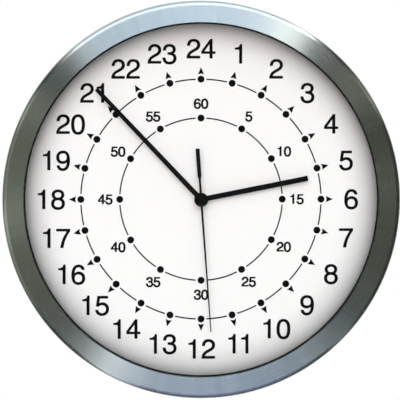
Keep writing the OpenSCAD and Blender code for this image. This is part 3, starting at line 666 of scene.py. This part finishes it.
# A face of a track that looks out this squarely is its front.
FACING = 0.9
# The spread at a corner grows to one part in this of the plain spread at most.
SHARPEST_CORNER = 0.5


def oval(x, y, wide, high):
    """A round outline, fuller than an ellipse."""
    a, b = OVAL_HANDLE * wide, OVAL_HANDLE * high
    return [
        (x - wide, y), (x - wide, y + b, x - a, y + high, x, y + high),
        (x + a, y + high, x + wide, y + b, x + wide, y),
        (x + wide, y - b, x + a, y - high, x, y - high),
        (x - a, y - high, x - wide, y - b, x - wide, y)]


def half_turned(outlines):
    """Outlines turned half round within the figure's height and width."""
    ends = (FIGURE_UNITS, CAP_UNITS - OVERSHOOT)
    return [[tuple(ends[i % 2] - c for i, c in enumerate(step)) for step in outline]
            for outline in outlines]


# Outlines of the figures. A pair of numbers is a straight line to a point, and six are a curve
# with its two handles.
SIX = [
    [(498, 520), (483, 634, 404, 703, 293, 703), (128, 703, 38, 567, 38, 320),
     (38, 99, 117, -19, 283, -19), (424, -19, 518, 80, 518, 218), (518, 354, 424, 443, 297, 443),
     (226, 443, 172, 419, 130, 365), (131, 535, 188, 627, 287, 627),
     (351, 627, 395, 588, 409, 520)],
    oval(281, 212, 146, 153)]
FIGURES = {
    "0": [oval(278, 342, 241, 361), oval(278, 342, 150, 284)],
    "1": [[(259, 0), (347, 0), (347, 703), (290, 703), (259, 603, 240, 583, 101, 567),
           (101, 505), (259, 505)]],
    "2": [[(34, 0), (507, 0), (507, 86), (134, 86), (143, 146, 172, 183, 262, 234), (361, 288),
           (461, 342, 511, 412, 511, 501), (511, 620, 415, 703, 284, 703),
           (140, 703, 58, 620, 50, 462), (139, 462), (143, 569, 192, 627, 281, 627),
           (361, 627, 421, 573, 421, 499), (421, 443, 389, 396, 326, 360), (234, 308),
           (88, 225, 43, 153, 34, 0)]],
    "3": [[(34, 210), (42, 68, 128, -19, 277, -19), (427, -19, 522, 68, 522, 201),
           (522, 286, 480, 345, 402, 371), (463, 401, 495, 452, 495, 515),
           (495, 631, 411, 703, 276, 703), (131, 703, 54, 622, 50, 477), (138, 477),
           (140, 578, 188, 628, 274, 628), (356, 628, 405, 583, 405, 511),
           (405, 437, 359, 403, 262, 403), (217, 403), (217, 329), (258, 331),
           (377, 331, 431, 287, 431, 199), (431, 109, 373, 58, 277, 58),
           (180, 58, 130, 108, 122, 210)]],
    "4": [[(327, 0), (415, 0), (415, 169), (520, 169), (520, 248), (415, 248), (415, 703),
           (350, 703), (28, 263), (28, 169), (327, 169)], [(105, 248), (327, 560), (327, 248)]],
    "5": [[(476, 688), (476, 604), (181, 604), (153, 405), (193, 435, 233, 453, 284, 453),
           (421, 453, 514, 358, 514, 223), (514, 78, 411, -19, 262, -19),
           (138, -19, 50, 54, 32, 176), (121, 176), (140, 97, 187, 58, 261, 58),
           (362, 58, 424, 119, 424, 218), (424, 315, 362, 375, 266, 375),
           (211, 375, 178, 357, 139, 312), (58, 312), (111, 688)]],
    "6": SIX,
    "7": [[(523, 688), (37, 688), (37, 603), (430, 603), (292, 425, 213, 240, 181, 0), (275, 0),
           (299, 237, 391, 448, 523, 614)]],
    "8": [[(150, 377), (92, 404, 60, 456, 60, 522), (60, 630, 151, 703, 278, 703),
           (405, 703, 496, 630, 496, 522), (496, 456, 464, 404, 406, 377),
           (478, 347, 518, 285, 518, 198), (518, 69, 421, -19, 278, -19),
           (135, -19, 38, 69, 38, 198), (38, 285, 78, 347, 150, 377)],
          oval(278, 518, 129, 110), oval(278, 197, 150, 138)],
    "9": half_turned(SIX),
}


def add_outline(curve, steps, place, unit):
    """Adds one closed outline to a flat curve."""
    if steps[-1][-2:] != steps[0][-2:]:
        steps = [*steps, steps[0][-2:]]
    corners = [Vector(step[-2:]) for step in steps[:-1]]
    after, before, count = corners[:], corners[:], len(corners)
    for i, step in enumerate(steps[1:]):
        if len(step) == 6:
            after[i] = Vector(step[0:2])
            before[(i + 1) % count] = Vector(step[2:4])
    spline = curve.splines.new("BEZIER")
    spline.bezier_points.add(count - 1)
    spline.use_cyclic_u = True
    for point, corner, left, right in zip(spline.bezier_points, corners, before, after):
        point.handle_left_type = point.handle_right_type = "FREE"
        point.co = (*(place + corner * unit), 0)
        point.handle_left = (*(place + left * unit), 0)
        point.handle_right = (*(place + right * unit), 0)


def number_shape(text, height):
    """Flat bmesh of a number, centred on its figures, reading along +X with +Y up."""
    curve = bpy.data.curves.new("number_" + text, "CURVE")
    curve.dimensions = "2D"
    curve.fill_mode = "BOTH"
    curve.resolution_u = CURVE_STEPS
    unit = height / CAP_UNITS
    advance = ADVANCE_UNITS - (CLOSER_ONES if text == "11" else 0)
    start = -(advance * (len(text) - 1) + FIGURE_UNITS) / 2
    for k, figure in enumerate(text):
        place = Vector((start + k * advance, -CAP_UNITS / 2)) * unit
        for steps in FIGURES[figure]:
            add_outline(curve, steps, place, unit)
    holder = add_object("number_" + text, curve)
    bpy.context.view_layer.update()
    mesh = bpy.data.meshes.new_from_object(holder)
    bpy.data.objects.remove(holder)
    shape = bmesh.new()
    shape.from_mesh(mesh)
    bpy.data.meshes.remove(mesh)
    merge(shape)
    return shape


def cut_long_edges(shape):
    """Halves edges until none is too long to follow the cove."""
    for _ in range(MOST_CUTS):
        edges = [e for e in shape.edges if e.calc_length() > COVE_EDGE]
        if not edges:
            return
        bmesh.ops.subdivide_edges(shape, edges=edges, cuts=1)
        bmesh.ops.triangulate(shape, faces=shape.faces)


def dial_rise(radius, height, settings):
    """How far the dial's front stands above its flat part at a radius, for a cove of a height."""
    share = min(max((radius - settings.cove_start) / settings.cove_width, 0), 1)
    return height * (1 - math.sqrt(1 - share * share))


def cove_height():
    """Height of the coved edge, from the flat dial to the rubber channel."""
    return level_of("lens_gasket", REAR) - level_of("hour_track", REAR)


def spread_ink(shape, verts, spread):
    """Moves the outline of a flat patch outwards at some of its corners, as ink spreads."""
    shape.normal_update()
    shifts = {}
    for vert in verts:
        outwards = [out_of(edge) for edge in vert.link_edges if edge.is_boundary]
        if outwards:
            middle = sum(outwards, Vector()).normalized()
            shifts[vert] = middle * spread / max(SHARPEST_CORNER, middle.dot(outwards[0]))
    for vert, shift in shifts.items():
        vert.co += shift


def out_of(edge):
    """Direction out of a patch across its boundary edge."""
    face = edge.link_faces[0]
    start, end = (vert.co for vert in edge.verts)
    across = (end - start).cross(face.normal).normalized()
    inside = face.calc_center_median() - start
    return -across if across.dot(inside) > 0 else across


def thicken_ink(shape, depth):
    """Gives a flat patch of print its thickness."""
    made = bmesh.ops.extrude_face_region(shape, geom=shape.faces[:])["geom"]
    bmesh.ops.translate(shape, vec=depth, verts=verts_in(made))


def inked_track(node, settings):
    """The front of a printed track, spread as ink and thickened, which stands for the node."""
    shape = copy_of(node)
    shape.normal_update()
    sides = [face for face in shape.faces if face.normal.dot(AXIS) > -FACING]
    bmesh.ops.delete(shape, geom=sides, context="FACES")
    arrowheads = [v for v in shape.verts if math.hypot(v.co.x, v.co.z) > settings.arrow_start]
    spread_ink(shape, arrowheads, settings.arrow_spread)
    spread_ink(shape, set(shape.verts).difference(arrowheads), settings.track_spread)
    thicken_ink(shape, AXIS * settings.ink_depth)
    ink = dull_finish("printed_black_ink", settings.ink)
    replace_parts(piece_from(shape, node + "_inked", "case", ink), node)


def lay_on_dial(shape, centre, settings):
    """Moves a number from its own plane to its place on the dial's front."""
    base, height = level_of("hour_track", REAR), cove_height()
    for vert in shape.verts:
        x, z = vert.co.x + centre.x, vert.co.y + centre.y
        rise = dial_rise(math.hypot(x, z), height, settings)
        vert.co = Vector((x, -(base + vert.co.z + rise), z))


def numeral_ring(kind, numbers, settings):
    """A circle of upright hours or minutes printed on the dial, the last of them at the top."""
    height, radius, spread = (
        getattr(settings, kind + size) for size in ("_height", "_radius", "_spread"))
    whole = bmesh.new()
    for k, text in enumerate(map(str, numbers)):
        angle = (k + 1) * FULL_TURN / len(numbers)
        number = number_shape(text, height)
        spread_ink(number, number.verts, spread)
        if radius + height > settings.cove_start:
            cut_long_edges(number)
        thicken_ink(number, Vector((0, 0, settings.ink_depth)))
        centre = Vector((radius * math.sin(angle), radius * math.cos(angle)))
        lay_on_dial(number, centre, settings)
        bmesh.ops.recalc_face_normals(number, faces=number.faces)
        pour(number, whole)
    ink = dull_finish("printed_black_ink", settings.ink)
    piece_from(whole, kind + "_numerals", "case", ink)


# ---- pieces

# Screw bosses: how many, the angle from the top to the first, the radius of their hole, how far
# they reach back from the screw's tip and how far they are sunk into the skirt.
BOSSES, FIRST_BOSS, BOSS_BORE, BOSS_BACK, BOSS_SINK = 6, math.radians(15), 0.0015, 0.0083, 0.0002
# The cap's edges, the depth of its recess and its gap to the second hand's tube.
CAP_EDGE, CAP_RECESS, TUBE_GAP = 0.0001, 0.0005, 0.00002
# Radii of edges at the back.
CASE_EDGE, CELL_EDGE, KNOB_EDGE, SCREW_EDGE = 0.0002, 0.0002, 0.00015, 0.00012


class CLOCK_OT_ring(bpy.types.Operator):
    """Turns the brushed ring with its rounded corner, rib and screw bosses"""

    bl_idname = "clock.ring"
    bl_label = "Brushed ring"

    def execute(self, context):
        sizes = context.scene.clock_ring
        outer, front = radius_of("bezel"), level_of("bezel", FRONT)
        rear, face = level_of("bezel", REAR), front - sizes.flange
        inner, corner = outer - sizes.wall, outer - sizes.corner
        rib_in = radius_of("lens_gasket") + sizes.rib_gap
        rib_out, rib_back = rib_in + sizes.rib, level_of("lens", REAR)
        shape = bmesh.new()
        last = profile(shape, (
            (inner, rear), (inner, face), (rib_out, face), (rib_out, rib_back),
            (rib_in, rib_back), (rib_in, face), (sizes.opening, face),
            (sizes.opening, front - sizes.chamfer), (sizes.opening + sizes.chamfer, front),
            (corner, front - sizes.fall)))
        last = profile_arc(
            shape, last, corner, front - sizes.fall - sizes.corner, -QUARTER, CORNER_STEPS)
        close(shape, profile(shape, [(outer, rear)], last))
        turn(shape, RING_STEPS)
        ease_edges(shape, sizes.edge)
        self.add_bosses(shape, sizes, inner, face)
        ring = piece_from(
            shape, "ring_brushed", "case", brushed_ring_finish(sizes))
        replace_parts(ring, "bezel")
        return {"FINISHED"}

    def add_bosses(self, shape, sizes, inner, face):
        """Adds a hollow boss around each case screw."""
        back = level_of("case_screws", FRONT) - BOSS_BACK
        reach = inner - sizes.boss + BOSS_SINK
        for k in range(BOSSES):
            angle = FIRST_BOSS + k * FULL_TURN / BOSSES
            boss = bmesh.new()
            close(boss, profile(boss, (
                (BOSS_BORE, back), (sizes.boss, back), (sizes.boss, face), (BOSS_BORE, face))))
            turn(boss, BOSS_STEPS)
            centre = (reach * math.sin(angle), 0, reach * math.cos(angle))
            bmesh.ops.translate(boss, vec=centre, verts=boss.verts)
            pour(boss, shape)


class CLOCK_OT_glass(bpy.types.Operator):
    """Gives the glass and its rubber channel their finishes"""

    bl_idname = "clock.glass"
    bl_label = "Glass and rubber"

    def execute(self, context):
        dress(glass_finish(), "lens")
        rubber = dull_finish("black_rubber_skin", (0.006, 0.006, 0.006))
        dress(rubber, "lens_gasket", "movement_washer")
        return {"FINISHED"}


class CLOCK_OT_dial(bpy.types.Operator):
    """Turns the coved dial sheet and inks its tracks"""

    bl_idname = "clock.dial"
    bl_label = "Dial and tracks"

    def execute(self, context):
        sizes = context.scene.clock_dial
        front = level_of("hour_track", REAR)
        shape = bmesh.new()
        last = profile(shape, ((sizes.bore, front), (sizes.cove_start, front)))
        last = profile_arc(
            shape, last, sizes.cove_start, front + sizes.cove_width, QUARTER, COVE_STEPS)
        rise = [v for v in shape.verts if -v.co.y > front + MERGE]
        flatten(shape, rise, front, cove_height() / sizes.cove_width)
        profile(shape, [(radius_of("dial"), level_of("lens_gasket", REAR))], last)
        turn(shape, DIAL_STEPS)
        shape.normal_update()
        if sum(face.normal.y * face.calc_area() for face in shape.faces) > 0:
            bmesh.ops.reverse_faces(shape, faces=shape.faces)
        bmesh.ops.solidify(shape, geom=shape.faces[:], thickness=sizes.sheet)
        dial = piece_from(shape, "dial_sheet", "case", dial_finish(sizes))
        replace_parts(dial, "dial")
        for node in ("hour_track", "minute_track"):
            inked_track(node, sizes)
        return {"FINISHED"}


class CLOCK_OT_numerals(bpy.types.Operator):
    """Prints the hours 1 to 24 and the minutes 5 to 60 around the dial"""

    bl_idname = "clock.numerals"
    bl_label = "Numerals"

    def execute(self, context):
        numeral_ring("hour", range(1, 25), context.scene.clock_dial)
        numeral_ring("minute", range(5, 65, 5), context.scene.clock_dial)
        return {"FINISHED"}


class CLOCK_OT_hands(bpy.types.Operator):
    """Rounds the hands' edges, turns the centre cap and gives the collets their brass"""

    bl_idname = "clock.hands"
    bl_label = "Hands and cap"

    def execute(self, context):
        sizes = context.scene.clock_hands
        lacquer = dull_finish("black_lacquer_coat", sizes.lacquer)
        for node in ("hour_hand", "minute_hand", "second_hand"):
            eased_copy(node, node + "_lacquered", lacquer, sizes.edge)
        self.turn_cap(sizes, lacquer)
        brass = turned_finish("turned_brass_collets")
        dress(brass, "hour_collet", "minute_collet", "second_tube")
        return {"FINISHED"}

    def turn_cap(self, sizes, lacquer):
        """Turns the round cap over the second hand's hub."""
        radius, tube = radius_of("centre_cap"), radius_of("second_tube") + TUBE_GAP
        low, shoulder = level_of("centre_cap", REAR), level_of("centre_cap", FRONT) - sizes.crown
        recess = low + CAP_RECESS
        shape = bmesh.new()
        last = profile(shape, (
            (0, recess), (tube, recess), (tube, low), (radius, low), (radius, shoulder)))
        count = len(shape.verts)
        profile_arc(shape, last, 0, shoulder, -QUARTER, CROWN_STEPS)
        shape.verts.ensure_lookup_table()
        flatten(shape, shape.verts[count:], shoulder, sizes.crown / radius)
        turn(shape, CAP_STEPS)
        ease_edges(shape, CAP_EDGE)
        cap = piece_from(shape, "centre_cap_turned", "second_arbor", lacquer)
        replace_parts(cap, "centre_cap")


class CLOCK_OT_back(bpy.types.Operator):
    """Rounds the edges of the pan and its screws, and gives the bush and its nut their brass"""

    bl_idname = "clock.back"
    bl_label = "Pan and fixings"

    def execute(self, context):
        sizes = context.scene.clock_back
        pan = dull_finish("grey_spark_texture", sizes.pan)
        eased_copy("back_pan", "pan_moulded", pan, sizes.pan_edge)
        nickel = plated_finish("nickel_plated_screws")
        eased_copy("case_screws", "case_screws_plated", nickel, SCREW_EDGE)
        dress(turned_finish("turned_brass_bush"), "threaded_bush", "ring_nut")
        return {"FINISHED"}


class CLOCK_OT_movement(bpy.types.Operator):
    """Rounds the edges of the movement's case, knob and cell, and dresses its steel"""

    bl_idname = "clock.movement"
    bl_label = "Movement and cell"

    def execute(self, context):
        dark = dull_finish("dark_satin_moulding", (0.035, 0.035, 0.038))
        for node in ("movement_case", "movement_cover"):
            eased_copy(node, node + "_moulded", dark, CASE_EDGE)
        knob = dull_finish("white_acetal_knob", (0.78, 0.77, 0.72))
        eased_copy("setting_knob", "setting_knob_moulded", knob, KNOB_EDGE)
        cell = sleeve_finish(context.scene.clock_back)
        eased_copy("battery_cell", "cell_sleeved", cell, CELL_EDGE)
        dress(plated_finish("spring_steel"),
              "positive_contact", "negative_contact", "dial_washer", "plate_screws")
        return {"FINISHED"}


class CLOCK_OT_train(bpy.types.Operator):
    """Dresses the wheels, the motor and the circuit board"""

    bl_idname = "clock.train"
    bl_label = "Wheels and motor"

    def execute(self, context):
        dress(dull_finish("natural_acetal", (0.8, 0.79, 0.73)), "rotor_pinion", "fifth_wheel",
              "seconds_wheel", "third_wheel", "centre_wheel", "minute_wheel", "hour_wheel")
        pale = dull_finish("pale_satin_moulding", (0.72, 0.71, 0.67))
        dress(pale, "middle_plate", "coil_bobbin")
        dress(turned_finish("turned_steel_arbor"), "cannon_pinion")
        dress(plated_finish("stamped_motor_iron"), "stator", "coil_core")
        dress(plated_finish("sintered_magnet"), "rotor_magnet")
        dress(plated_finish("drawn_bright_can"), "quartz_crystal")
        dress(dull_finish("cast_black_resin", (0.02, 0.02, 0.02)), "driver_chip")
        dress(winding_finish(), "coil_winding")
        dress(board_finish(), "circuit_board")
        return {"FINISHED"}


# ---- stage

# Light around the clock as it faces it, for the metal. Each kind has its colour, its strength
# where no panel is, and its panels: centre and half width in degrees clockwise from the top,
# strength, and width of the soft edge in degrees.
LIGHTS = {
    "window": ((0.84, 1.015, 1.13), 0.0, {
        "skylight": (-1.5, 40.0, 1.5, 3), "brighter_sky": (4, 16, 0.26, 30),
        "low_gap": (202, 5.2, 0.62, 4), "low_edge": (136.5, 3.5, 0.25, 3)}),
    "sky": ((0.82, 1.0, 1.75), 0.0, {"low_sky": (177, 23, 0.14, 30)}),
    "wall": ((1.02, 1.1, 0.86), 0.03, {
        "left_wall": (263, 31, 0.19, 14), "left_lamp": (258, 6, 0.26, 5),
        "shelf": (295, 5.2, 0.29, 4), "right_glint": (64, 4.3, 0.33, 5)}),
    "plaster": ((1.1, 1.06, 0.84), 0.0, {
        "left_return": (318, 4, 0.6, 5), "right_return": (57, 2.4, 0.14, 3),
        "bright_gap": (34.4, 3.6, 2.7, 2), "low_return": (206.5, 4.2, 0.4, 4)}),
}
# The numbers below are a direction's part along +Y: -1 is straight out from the dial, 0 is in
# the plane of the wall and 1 is behind it.
# From dark straight ahead, so that the glass stays clear, to the full light of the panels.
AHEAD = (-0.9945, -0.9816)
# From the full light of the panels to the share that is left beside the skirt.
BESIDE, BESIDE_SHARE = (-0.5, -0.05), 0.15
# From the panels to the plain grey behind the clock.
BEHIND, BEHIND_GREY = (0.3, 0.7), (0.8, 0.8, 0.8)
# How much the panels' strength varies around the clock.
STREAKS = (0.82, 1.18)
# Sensor width in millimetres, and how far the camera sees in metres.
SENSOR, FARTHEST = 36, 60


class CLOCK_OT_stage(bpy.types.Operator):
    """Sets up the floor, the soft light and the camera"""

    bl_idname = "clock.stage"
    bl_label = "Stage"

    def execute(self, context):
        settings = context.scene.clock_stage
        context.scene.view_settings.view_transform = "Standard"
        self.lay_floor(settings)
        self.light(context, settings)
        self.stand_camera(context, settings)
        return {"FINISHED"}

    def lay_floor(self, settings):
        """Lays a wide round floor under the clock."""
        shape = bmesh.new()
        bmesh.ops.create_circle(
            shape, cap_ends=True, segments=FLOOR_STEPS, radius=settings.floor_radius,
            matrix=Matrix.Translation((0, 0, settings.floor_level)))
        floor = object_from(shape, "studio_floor", dull_finish("pale_floor", (0.86, 0.86, 0.86)))
        floor.visible_glossy = False

    def light(self, context, settings):
        """Hangs a softbox in front of the clock and sets the room around it."""
        lamp = bpy.data.lights.new("front_softbox", "AREA")
        lamp.shape, lamp.size = "SQUARE", settings.key_size
        lamp.energy = settings.key_power
        lamp.color = settings.key_colour
        holder = add_object("front_softbox", lamp)
        holder.visible_glossy = holder.visible_transmission = False
        holder.location = settings.key_place
        holder.rotation_euler = (-holder.location).to_track_quat("-Z", "Y").to_euler()
        room = bpy.data.worlds.new("studio_room")
        context.scene.world = room
        room.use_nodes = True
        self.paint_room(room.node_tree)

    def paint_room(self, tree):
        """White behind the clock, and light panels around it for the metal."""
        tree.nodes.clear()
        direction = put(tree, "TexCoord").outputs["Generated"]
        place = put(tree, "SeparateXYZ", {0: direction}).outputs
        round_axis = maths(tree, "ARCTAN2", place["X"], place["Z"])
        light = BLACK
        for tint, glow, panels in LIGHTS.values():
            for panel in panels.values():
                glow = maths(tree, "ADD", glow, self.panel(tree, round_axis, *panel))
            light = vector_maths(tree, "ADD", light, scaled(tree, tint, glow))
        around_at = put(tree, "CombineXYZ", {"X": round_axis}).outputs[0]
        streaks = noise(tree, around_at, scale=26.0, detail=3.0, roughness=0.6)
        for factor in (
                between(tree, place["Y"], *AHEAD, smooth=True),
                between(tree, streaks, 0.25, 0.75, *STREAKS),
                between(tree, place["Y"], *BESIDE, 1.0, BESIDE_SHARE, smooth=True)):
            light = scaled(tree, light, factor)
        behind = between(tree, place["Y"], *BEHIND, smooth=True)
        panels = put(tree, "Background", {"Color": shades(tree, behind, light, BEHIND_GREY)})
        white = put(tree, "Background", {"Color": WHITE})
        seen = put(tree, "LightPath").outputs["Is Camera Ray"]
        both = put(tree, "MixShader", {0: seen, 1: panels.outputs[0], 2: white.outputs[0]})
        put(tree, "OutputWorld", {"Surface": both.outputs[0]})

    def panel(self, tree, round_axis, centre, half_width, strength, edge):
        """Light of one panel: full inside its sector, fading over its edge."""
        offset = maths(tree, "SUBTRACT", round_axis, math.radians(centre))
        away = maths(tree, "ARCCOSINE", maths(tree, "COSINE", offset))
        return between(
            tree, away, math.radians(half_width - edge / 2), math.radians(half_width + edge / 2),
            strength, 0.0, smooth=True)

    def stand_camera(self, context, settings):
        """Stands the camera in front of the clock at the photograph's angle."""
        camera = bpy.data.cameras.new("camera")
        camera.sensor_width = SENSOR
        camera.lens = SENSOR * settings.distance / settings.span
        camera.clip_end = FARTHEST
        holder = add_object("camera", camera)
        level = math.cos(settings.elevation)
        away = Vector((
            math.sin(settings.azimuth) * level, -math.cos(settings.azimuth) * level,
            math.sin(settings.elevation)))
        holder.location = Vector(settings.aim) + away * settings.distance
        holder.rotation_euler = (-away).to_track_quat("-Z", "Y").to_euler()
        context.scene.camera = holder


class CLOCK_PT_panel(bpy.types.Panel):
    """Lists the clock's settings and its steps"""

    bl_idname = "CLOCK_PT_panel"
    bl_label = "Twenty-four hour clock"
    bl_space_type = "VIEW_3D"
    bl_region_type = "UI"
    bl_category = "Clock"

    def draw(self, context):
        layout = self.layout
        for group in GROUPS:
            box = layout.box()
            settings = getattr(context.scene, group)
            for name in settings.bl_rna.properties.keys():
                if name not in ("rna_type", "name"):
                    box.prop(settings, name)
        for step in STEPS:
            layout.operator(step.bl_idname)


GROUPS = {
    "clock_ring": RingSettings, "clock_dial": DialSettings, "clock_hands": HandSettings,
    "clock_back": BackSettings, "clock_stage": StageSettings,
}
STEPS = (
    CLOCK_OT_ring, CLOCK_OT_glass, CLOCK_OT_dial, CLOCK_OT_numerals, CLOCK_OT_hands,
    CLOCK_OT_back, CLOCK_OT_movement, CLOCK_OT_train, CLOCK_OT_stage,
)
add_classes, remove_classes = bpy.utils.register_classes_factory(
    (*GROUPS.values(), *STEPS, CLOCK_PT_panel))


def register():
    """Registers the settings, the steps and the panel."""
    add_classes()
    for name, group in GROUPS.items():
        setattr(bpy.types.Scene, name, bpy.props.PointerProperty(type=group))


def unregister():
    """Takes away what register added."""
    for name in GROUPS:
        delattr(bpy.types.Scene, name)
    remove_classes()


def main():
    """Dresses the clock."""
    register()
    for step in STEPS:
        getattr(bpy.ops.clock, step.bl_idname.removeprefix("clock."))()


if __name__ == "__main__":
    main()
